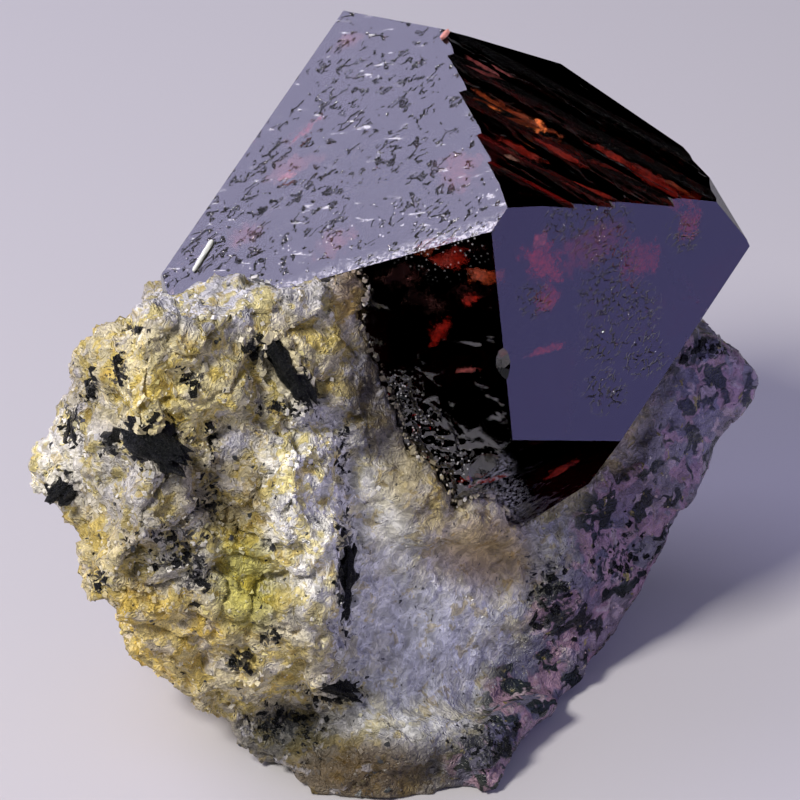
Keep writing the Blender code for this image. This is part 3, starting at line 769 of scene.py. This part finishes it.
# Colour zones of the rock on the display side: pixel x and y, half sizes in pixels, and colour.
ROCK_BASE = (0.42, 0.38, 0.30)
ROCK_ZONES = (
    (230, 303, 130, 24, (0.66, 0.66, 0.70)),
    (130, 340, 55, 26, (0.76, 0.68, 0.42)),
    (185, 395, 62, 44, (0.78, 0.68, 0.34)),
    (300, 330, 45, 30, (0.74, 0.66, 0.42)),
    (250, 395, 36, 26, (0.52, 0.48, 0.34)),
    (312, 500, 44, 74, (1.0, 0.99, 0.97)),
    (233, 443, 18, 16, (0.42, 0.42, 0.50)),
    (105, 470, 40, 40, (0.56, 0.54, 0.50)),
    (190, 575, 36, 40, (0.52, 0.50, 0.46)),
    (240, 580, 30, 44, (0.60, 0.55, 0.12)),
    (240, 500, 26, 36, (0.34, 0.28, 0.14)),
    (170, 640, 60, 46, (0.76, 0.60, 0.22)),
    (255, 675, 60, 34, (0.74, 0.66, 0.44)),
    (90, 560, 25, 50, (0.68, 0.58, 0.30)),
    (50, 460, 28, 44, (0.95, 0.92, 0.80)),
    (348, 302, 18, 26, (0.28, 0.17, 0.06)),
    (376, 380, 22, 80, (0.065, 0.052, 0.045)),
    (420, 480, 36, 36, (0.34, 0.29, 0.18)),
    (430, 640, 80, 80, (0.64, 0.66, 0.70)),
    (400, 690, 50, 40, (0.45, 0.46, 0.50)),
    (478, 558, 44, 30, (0.40, 0.29, 0.12)),
    (375, 560, 30, 90, (0.74, 0.74, 0.72)),
    (560, 540, 32, 50, (0.34, 0.34, 0.32)),
    (610, 560, 45, 50, (0.08, 0.09, 0.09)),
    (600, 622, 34, 34, (0.52, 0.34, 0.46)),
    (722, 425, 32, 48, (0.16, 0.11, 0.18)),
    (632, 502, 28, 20, (0.42, 0.27, 0.32)),
    (700, 375, 50, 36, (0.06, 0.065, 0.10)),
    (530, 710, 44, 60, (0.055, 0.07, 0.11)),
    # Painted shade: the two zones below, the recessed lower left and the yellow-orange foot, are darkened for
    # the shadow they lie in.
    (290, 730, 44, 26, (0.10, 0.10, 0.10)),
    (370, 772, 70, 28, (0.085, 0.055, 0.024)),
    (460, 765, 50, 30, (0.10, 0.10, 0.11)),
)

# Where black minerals gather; the thin zones along the lobe's step (x 342 to 345) and the wide one low on the
# left at (285, 725) paint its shade black instead: pixel x and y, half sizes in pixels, strength.
DARK_ZONES = (
    (158, 446, 34, 24, 1.0), (110, 443, 16, 12, 0.9), (270, 354, 20, 16, 1.0), (306, 392, 13, 26, 1.0),
    (285, 408, 28, 7, 0.9), (92, 388, 8, 14, 1.0), (118, 372, 10, 22, 0.8), (190, 378, 12, 8, 0.9),
    (73, 422, 11, 24, 0.9), (60, 486, 10, 18, 1.0), (212, 438, 6, 18, 0.8), (180, 535, 36, 12, 0.5),
    (197, 565, 12, 32, 0.7), (165, 560, 26, 10, 0.45), (345, 575, 8, 62, 1.0), (335, 692, 24, 12, 1.0),
    (210, 500, 14, 28, 0.6), (285, 725, 44, 18, 0.7), (555, 600, 24, 46, 0.7), (625, 560, 34, 30, 0.6),
    (700, 352, 36, 10, 0.9), (495, 745, 40, 24, 0.7), (238, 661, 14, 10, 0.8), (270, 640, 10, 8, 0.8),
    (100, 585, 10, 26, 0.7), (342, 450, 8, 36, 0.5), (255, 345, 10, 10, 0.9), (135, 330, 10, 6, 0.7),
)

# The flank with its coarse mosaic, and the smooth middle.
MOSAIC_ZONES = (
    (735, 385, 60, 70, 1.0), (690, 470, 60, 70, 1.0), (635, 540, 60, 70, 1.0), (590, 630, 60, 70, 1.0),
    (545, 710, 60, 70, 1.0), (500, 770, 50, 36, 0.9),
)
SMOOTH_ZONES = (
    (430, 640, 90, 110, 1.0), (480, 560, 80, 60, 0.9), (710, 420, 70, 110, 1.0),
    (745, 385, 60, 60, 1.0), (620, 590, 80, 90, 0.95), (540, 720, 60, 80, 0.9),
    (390, 540, 40, 100, 0.85),
)
LOBE_ZONES = ((200, 480, 190, 260, 1.0), (370, 770, 90, 50, 1.0))

# How far behind the display origin zones reach, in millimetres.
FRONT_REACH = 25.0
FLANK_REACH = 34.0


def picture_places(places):
    """Where display places show in the picture, in pixels."""
    scale = EYE_DISTANCE / (EYE_DISTANCE - places[:, 2]) * PICTURE / FRAME_WIDTH
    return 0.5 * PICTURE + places[:, 0] * scale, 0.5 * PICTURE - places[:, 1] * scale


def zone_shares(places, zones, reach=FRONT_REACH):
    """How far each place is inside any of the zones, from 0 to 1, down to a depth in millimetres."""
    pixel_x, pixel_y = picture_places(places)
    total = np.zeros(len(places))
    for x, y, half_x, half_y, strength in zones:
        share = np.exp(-((pixel_x - x) / half_x) ** 2 - ((pixel_y - y) / half_y) ** 2)
        total = np.maximum(total, strength * share)
    return total * np.clip((places[:, 2] + reach) / 5.0, 0.0, 1.0)


def calm_shares(places):
    return zone_shares(places, SMOOTH_ZONES, FLANK_REACH)


def zone_colours(places):
    """The soft colour of the rock at display places, from the zones; further back broad natural variation."""
    pixel_x, pixel_y = picture_places(places)
    total = np.full(len(places), 0.05)
    colours = np.outer(total, ROCK_BASE)
    for x, y, half_x, half_y, colour in ROCK_ZONES:
        weight = np.exp(-1.7 * (((pixel_x - x) / half_x) ** 2 + ((pixel_y - y) / half_y) ** 2))
        total += weight
        colours += np.outer(weight, colour)
    colours /= total[:, None]
    back = np.clip((-places[:, 2] - 19.0) / 8.0, 0.0, 1.0)
    far = np.empty_like(colours)
    for index, place in enumerate(places):
        if back[index] == 0.0:
            continue
        first = smoothstep(-0.25, 0.25, noise.noise(Vector(place) * 0.16))
        second = smoothstep(-0.1, 0.4, noise.noise(Vector(place) * 0.20 + Vector((9.0, 0.0, 0.0))))
        cream = np.array((0.62, 0.58, 0.46)) * first + np.array((0.46, 0.38, 0.20)) * (1.0 - first)
        far[index] = cream * (1.0 - second) + np.array((0.33, 0.33, 0.36)) * second
    near = back == 0.0
    far[near] = colours[near]
    return colours * (1.0 - back[:, None]) + far * back[:, None]


def facet_height(place, size, seed):
    """Broken flat grains: every cell has a flat of its own, turned at random."""
    scaled = place / size + Vector((seed, 2.0 * seed, 3.0 * seed))
    centre = noise.voronoi(scaled)[1][0]
    lean = noise.cell_vector(centre * 7.31) - Vector((0.5, 0.5, 0.5))
    return lean.dot(scaled - centre) * size + 0.45 * size * (noise.cell(centre * 5.17) - 0.5)


def place_height(place):
    """Height over the table, in millimetres, of a display place."""
    return (TO_ROW @ place).z / MM


ROCK_VOXEL = 0.5
CALM_ROUNDS = 24


def build_rock():
    skin = even_skin(MATRIX_MESH.copy(), ROCK_VOXEL)
    mesh_data = bmesh.new()
    mesh_data.from_mesh(skin)
    front = [face for face in mesh_data.faces if face.normal.z > 0.05
             and ZIRCON_TREE.find_nearest(face.calc_center_median())[3] > 0.6]
    edges = {edge for face in front for edge in face.edges}
    bmesh.ops.subdivide_edges(mesh_data, edges=list(edges), cuts=1, use_grid_fill=True)
    bmesh.ops.triangulate(mesh_data, faces=mesh_data.faces)
    shares = calm_shares(np.array([vert.co for vert in mesh_data.verts]))
    calm_verts = [vert for vert, calm in zip(mesh_data.verts, shares) if calm > 0.4]
    for _ in range(CALM_ROUNDS):
        bmesh.ops.smooth_vert(mesh_data, verts=calm_verts, factor=0.5, use_axis_x=True, use_axis_y=True,
                              use_axis_z=True)
    mesh_data.normal_update()
    shares = calm_shares(np.array([vert.co for vert in mesh_data.verts]))
    for vert, calm in zip(mesh_data.verts, shares):
        place, normal = vert.co.copy(), vert.normal.copy()
        spot, facing, _, near = ZIRCON_TREE.find_nearest(place)
        share = min(1.0, max(0.0, (near - 0.35) / 0.8)) * min(1.0, max(0.0, place_height(place) / 0.6))
        height = 0.40 * facet_height(place, 2.3, 1.0) + 0.30 * facet_height(place, 0.95, 2.0) + 0.06
        height += 0.16 * noise.fractal(place * 1.8, 0.9, 2.0, 2)
        lobe = math.exp(-((place.x + 12.0) / 9.0) ** 4 - ((place.y + 7.0) / 16.0) ** 4)
        groove = smoothstep(0.10, 0.0, abs(noise.noise(place * 0.38)))
        height += lobe * (0.8 * noise.noise(place * 0.42) - 0.55 * groove)
        place = place + normal * share * (1.0 - 0.92 * calm) * height
        # The rock grips the crystal: its pocket closes the fitting gap of the solids.
        grip = smoothstep(0.75, 0.45, near)
        vert.co = place.lerp(spot + facing * 0.02, grip)
    for face in mesh_data.faces:
        face.smooth = True
    mesh_data.to_mesh(skin)
    mesh_data.free()

    places = mesh_places(skin)
    store(skin, "tint", "FLOAT_COLOR", np.hstack([zone_colours(places), np.ones((len(places), 1))]))
    store(skin, "dark", "FLOAT", zone_shares(places, DARK_ZONES))
    store(skin, "mosaic", "FLOAT", zone_shares(places, MOSAIC_ZONES, FLANK_REACH))
    store(skin, "coarse", "FLOAT", 1.0 - calm_shares(places))
    kept = skin.copy()
    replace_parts(finished("rock", skin, rock_material()), "matrix")
    return kept


MATRIX_MESH = solid_copy("matrix")
ROCK_SKIN = build_rock()
ROCK_TREE = BVHTree.FromPolygons(*mesh_lists(ROCK_SKIN))


# Loose-looking grains on the rock, joined to a few meshes.

def crumb_shapes():
    """The corners and triangles of a twenty-sided crumb and of a cleaved block."""
    shapes = []
    for make, settings in ((bmesh.ops.create_icosphere, {"subdivisions": 1, "radius": 1.0}),
                           (bmesh.ops.create_cube, {"size": 1.5})):
        mesh_data = bmesh.new()
        make(mesh_data, **settings)
        bmesh.ops.triangulate(mesh_data, faces=mesh_data.faces)
        shapes.append((np.array([vert.co for vert in mesh_data.verts]),
                       np.array([[vert.index for vert in face.verts] for face in mesh_data.faces])))
        mesh_data.free()
    return shapes


CRUMBS = crumb_shapes()


def joined_crumbs(name, spots, paint, seed, blocky=0.6):
    """One mesh of angular crumbs; each spot is (place, normal, size, stretch, colour)."""
    dice = np.random.default_rng(seed)
    corners, faces, tints = [], [], []
    total = 0
    for place, normal, size, stretch, colour in spots:
        shape, sides = CRUMBS[1 if dice.random() < blocky else 0]
        bent = shape * (1.0 + dice.uniform(-0.28, 0.28, shape.shape))
        bent = bent * np.array([stretch, 1.0, dice.uniform(0.5, 1.0)]) * size
        turn = Matrix.Rotation(dice.uniform(0.0, 2.0 * math.pi), 3, "Z")
        tip = Matrix.Rotation(dice.uniform(-0.8, 0.8), 3, "X")
        stand = normal.to_track_quat("Z", "Y").to_matrix()
        corners.append(bent @ np.array(stand @ tip @ turn).T + np.array(place))
        faces.append(sides + total)
        tints.append(np.tile([*colour, 1.0], (len(shape), 1)))
        total += len(shape)
    mesh = bpy.data.meshes.new(name)
    mesh.from_pydata(np.vstack(corners).tolist(), [], np.vstack(faces).tolist())
    store(mesh, "tint", "FLOAT_COLOR", np.vstack(tints))
    finished(name, mesh, paint)


def grain_material():
    nodes = Nodes("grains")
    fine = nodes.noise(nodes.attribute("display", "Vector"), 8.0, 2.0, 0.7)
    nodes.set(base=nodes.shade(nodes.attribute("tint", "Color"), nodes.smooth(fine, 0.2, 0.8, 0.75, 1.2)),
              rough=nodes.smooth(fine, 0.3, 0.7, 0.22, 0.6), normal=nodes.bump(fine, 0.4, 0.00010))
    return nodes.material


def surface_at(x, y):
    """The rock's surface seen at a pixel: (place, normal), or None where the crystal or nothing is there."""
    ray = sight(x, y)
    place, normal, _, distance = ROCK_TREE.ray_cast(EYE, ray)
    if place is None:
        return None
    crystal = ZIRCON_TREE.ray_cast(EYE, ray)[3]
    if crystal is not None and crystal < distance:
        return None
    return place, normal


WHITE_GRAIN, YELLOW_GRAIN, GREY_GRAIN = (0.92, 0.91, 0.86), (0.62, 0.56, 0.10), (0.34, 0.35, 0.38)
BLACK_GRAIN, RIM_GRAIN = (0.03, 0.033, 0.036), (0.8, 0.79, 0.76)
PALE_GRAINS = 9000
RIM_GRAINS_PER_MM = 5.0


def scatter_pale_grains(count, seed):
    """Feldspar crumbs all over the rock, fewest where it is smooth."""
    dice = np.random.default_rng(seed)
    places = mesh_places(ROCK_SKIN)
    sides = np.array([tuple(face.vertices) for face in ROCK_SKIN.polygons])
    a, b, c = places[sides[:, 0]], places[sides[:, 1]], places[sides[:, 2]]
    cross = np.cross(b - a, c - a)
    area = np.linalg.norm(cross, axis=1)
    middle = (a + b + c) / 3.0
    calm = calm_shares(middle)
    lobe = zone_shares(middle, LOBE_ZONES)
    weight = area * (1.0 - 0.97 * calm) * (0.45 + lobe)
    picks = dice.choice(len(sides), size=count, p=weight / weight.sum())
    colours = zone_colours(middle[picks])
    spots = []
    for pick, colour in zip(picks, colours):
        share = dice.dirichlet((1.0, 1.0, 1.0))
        place = Vector(share[0] * a[pick] + share[1] * b[pick] + share[2] * c[pick])
        if ZIRCON_TREE.find_nearest(place)[3] < 0.5 or place_height(place) < 0.4:
            continue
        normal = Vector(cross[pick]).normalized()
        kind = dice.random()
        if kind < 0.28:
            colour = 0.65 * colour + np.array(WHITE_GRAIN) * min(0.5, 0.7 * colour.mean())
        elif kind < 0.42:
            colour = 0.65 * colour + np.array(YELLOW_GRAIN) * min(0.5, 0.7 * colour.mean())
        elif kind < 0.50:
            colour = 0.5 * colour + np.array(GREY_GRAIN) * min(0.5, colour.mean())
        elif kind < 0.55:
            colour = np.array(BLACK_GRAIN)
        size = 0.07 + 0.17 * dice.random() ** 3 * (0.5 + 0.5 * lobe[pick]) + 0.02 * lobe[pick]
        spots.append((place - normal * 0.5 * size, normal, size, dice.uniform(1.0, 1.6),
                      colour * dice.uniform(0.75, 1.15)))
    return spots


def rim_spots(seed):
    """Places along the edge of the crystal's pocket, where rock and crystal meet."""
    dice = Random(seed)
    mesh_data = bmesh.new()
    mesh_data.from_mesh(MATRIX_MESH)
    spots = []
    for edge in mesh_data.edges:
        sides = [ZIRCON_TREE.find_nearest(face.calc_center_median())[3] < 0.33 for face in edge.link_faces]
        if len(sides) != 2 or sides[0] == sides[1]:
            continue
        first, second = (vert.co for vert in edge.verts)
        outer = edge.link_faces[0 if sides[1] else 1]
        for _ in range(max(1, round(RIM_GRAINS_PER_MM * (second - first).length))):
            place = first.lerp(second, dice.random())
            spot = ZIRCON_TREE.find_nearest(place)[0]
            size = 0.05 + 0.15 * dice.random() ** 2
            outward = (place - spot).normalized()
            place = spot + outward * dice.gauss(0.15, 0.30) - outer.normal * size * dice.uniform(0.1, 0.7)
            colour = zone_colours(np.array([place]))[0] * dice.uniform(0.6, 1.15)
            if dice.random() < 0.2:
                colour = 0.5 * colour + 0.5 * np.array(RIM_GRAIN)
            spots.append((place, outer.normal.copy(), size, dice.uniform(1.0, 2.0), colour))
    mesh_data.free()
    return spots


grain_paint = grain_material()
pale = scatter_pale_grains(PALE_GRAINS, 11)
joined_crumbs("pale_grains", pale, grain_paint, 21)
joined_crumbs("rim_grains", rim_spots(12), grain_paint, 22)


def amphibole_material():
    nodes = Nodes("amphibole")
    fine = nodes.noise(nodes.attribute("display", "Vector"), 6.0, 4.0, 0.7)
    colour = nodes.mix(nodes.smooth(fine, 0.55, 0.75), (0.004, 0.005, 0.006), (0.020, 0.024, 0.026))
    nodes.set(base=colour, rough=nodes.smooth(fine, 0.3, 0.7, 0.14, 0.34), specular=0.4,
              normal=nodes.bump(fine, 1.0, 0.00030))
    return nodes.material


BLADE_VOXEL = 0.09
BLADES = ("amphibole_lobe", "amphibole_upper", "amphibole_ledge", "amphibole_foot", "amphibole_knob")


def build_amphibole(node, paint):
    """A splintery blade in place of the plain one: fibres along its length, broken ends."""
    mesh = even_skin(solid_copy(node), BLADE_VOXEL)
    places = mesh_places(mesh)
    middle = places.mean(axis=0)
    axes = np.linalg.svd(places - middle, full_matrices=False)[2]
    local = (places - middle) @ axes.T
    reach = np.abs(local[:, 0]).max()
    normals = np.zeros(len(places) * 3)
    mesh.vertices.foreach_get("normal", normals)
    normals = normals.reshape(-1, 3)
    moved = []
    for place, (along, wide, thick), normal in zip(places, local, normals):
        fibre = noise.fractal(Vector((along * 0.35, wide * 3.2, thick * 3.2)), 0.8, 2.1, 3)
        splinter = noise.noise(Vector((3.0 * wide, 3.0 * thick, 9.0 if along > 0.0 else 2.0)))
        end = smoothstep(0.25 * reach, reach, abs(along)) * math.copysign(1.2, along) * splinter
        ragged = 0.22 * fibre + 0.35 * noise.noise(Vector(place) * 1.1)
        moved.append(place + ragged * normal + end * axes[0])
    mesh.vertices.foreach_set("co", np.array(moved).ravel())
    mesh.update()
    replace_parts(finished(node + "_blade", mesh, paint), node)
    return [Vector(place) for place in moved]


def collar_spots(places, dice):
    """Crumbs of rock that hold a blade where it leaves the surface."""
    spots = []
    for place in places:
        near = ROCK_TREE.find_nearest(place)
        if near[3] > 0.40 or dice.random() > 0.30:
            continue
        size = dice.uniform(0.10, 0.34)
        colour = zone_colours(np.array([near[0]]))[0] * dice.uniform(0.65, 1.1)
        spots.append((near[0] - near[1] * 0.3 * size, near[1], size, dice.uniform(1.0, 1.6), colour))
    return spots


black = amphibole_material()
collars = []
collar_dice = Random(14)
for name in BLADES:
    collars += collar_spots(build_amphibole(name, black), collar_dice)
joined_crumbs("blade_collars", collars, grain_paint, 25)


BLACK_FLAKE = (0.02, 0.022, 0.026)


def flake_spots(seed):
    """Small black flakes, thickest where black minerals gather; at the lobe's step and low left recess,
    painted shade.
    """
    dice = Random(seed)
    spots = []
    for x, y, half_x, half_y, strength in DARK_ZONES:
        for _ in range(round(0.06 * half_x * half_y * strength) + 5):
            hit = surface_at(dice.gauss(x, 0.5 * half_x), dice.gauss(y, 0.5 * half_y))
            if not hit or ZIRCON_TREE.find_nearest(hit[0])[3] < 0.4:
                continue
            place, normal = hit
            size = 0.07 + 0.30 * strength * dice.random() ** 2
            spots.append((place - normal * 0.4 * size, normal, size, dice.uniform(1.0, 2.6), BLACK_FLAKE))
    return spots


joined_crumbs("black_flakes", flake_spots(13), black, 23, blocky=0.8)


NEEDLE_ENDS = ((194, 272), (213, 241))
NEEDLE_RADIUS = 0.175


def build_needle():
    """The thin white needle that lies on the left face."""
    ends = [ZIRCON_TREE.ray_cast(EYE, sight(x, y))[0] + FACET_NORMALS[LEFT] * 0.10 for x, y in NEEDLE_ENDS]
    axis = ends[1] - ends[0]
    stand = axis.to_track_quat("Z", "Y").to_matrix()
    rings, sides = 13, 10
    corners, faces = [], []
    for i in range(rings):
        share = i / (rings - 1)
        radius = NEEDLE_RADIUS * (0.8 + 0.2 * share) * (0.55 if i in (0, rings - 1) else 1.0)
        for j in range(sides):
            turn = 2.0 * math.pi * j / sides
            wobble = 1.0 + 0.22 * noise.noise(Vector((i * 0.7, j * 1.7, 0.3)))
            corner = Vector((math.cos(turn), math.sin(turn), 0.0)) * radius * wobble
            corners.append(ends[0] + axis * share + stand @ corner)
            if i:
                first, second = i * sides + j, i * sides + (j + 1) % sides
                faces.append((first - sides, second - sides, second, first))
    faces.append(tuple(reversed(range(sides))))
    faces.append(tuple(range((rings - 1) * sides, rings * sides)))
    mesh = bpy.data.meshes.new("needle")
    mesh.from_pydata(corners, [], faces)
    mesh.transform(TO_ROW)
    nodes = Nodes("needle")
    streak = nodes.noise(nodes.add("ShaderNodeTexCoord").outputs["Object"], 4000.0, 3.0, 0.55)
    nodes.set(base=nodes.mix(streak, (0.80, 0.84, 0.80), (0.95, 0.96, 0.95)), rough=0.35,
              normal=nodes.bump(streak, 0.3, 0.0001))
    mesh.materials.append(nodes.material)
    piece("needle", mesh)


build_needle()
spot, facing = ZIRCON_TREE.find_nearest(at_pixel(447, 22, -9.0))[:2]
pink = [(spot + facing * 0.10, facing, 0.34, 1.6, (0.80, 0.34, 0.28))]
joined_crumbs("pink_grain", pink, grain_paint, 24, blocky=0.0)
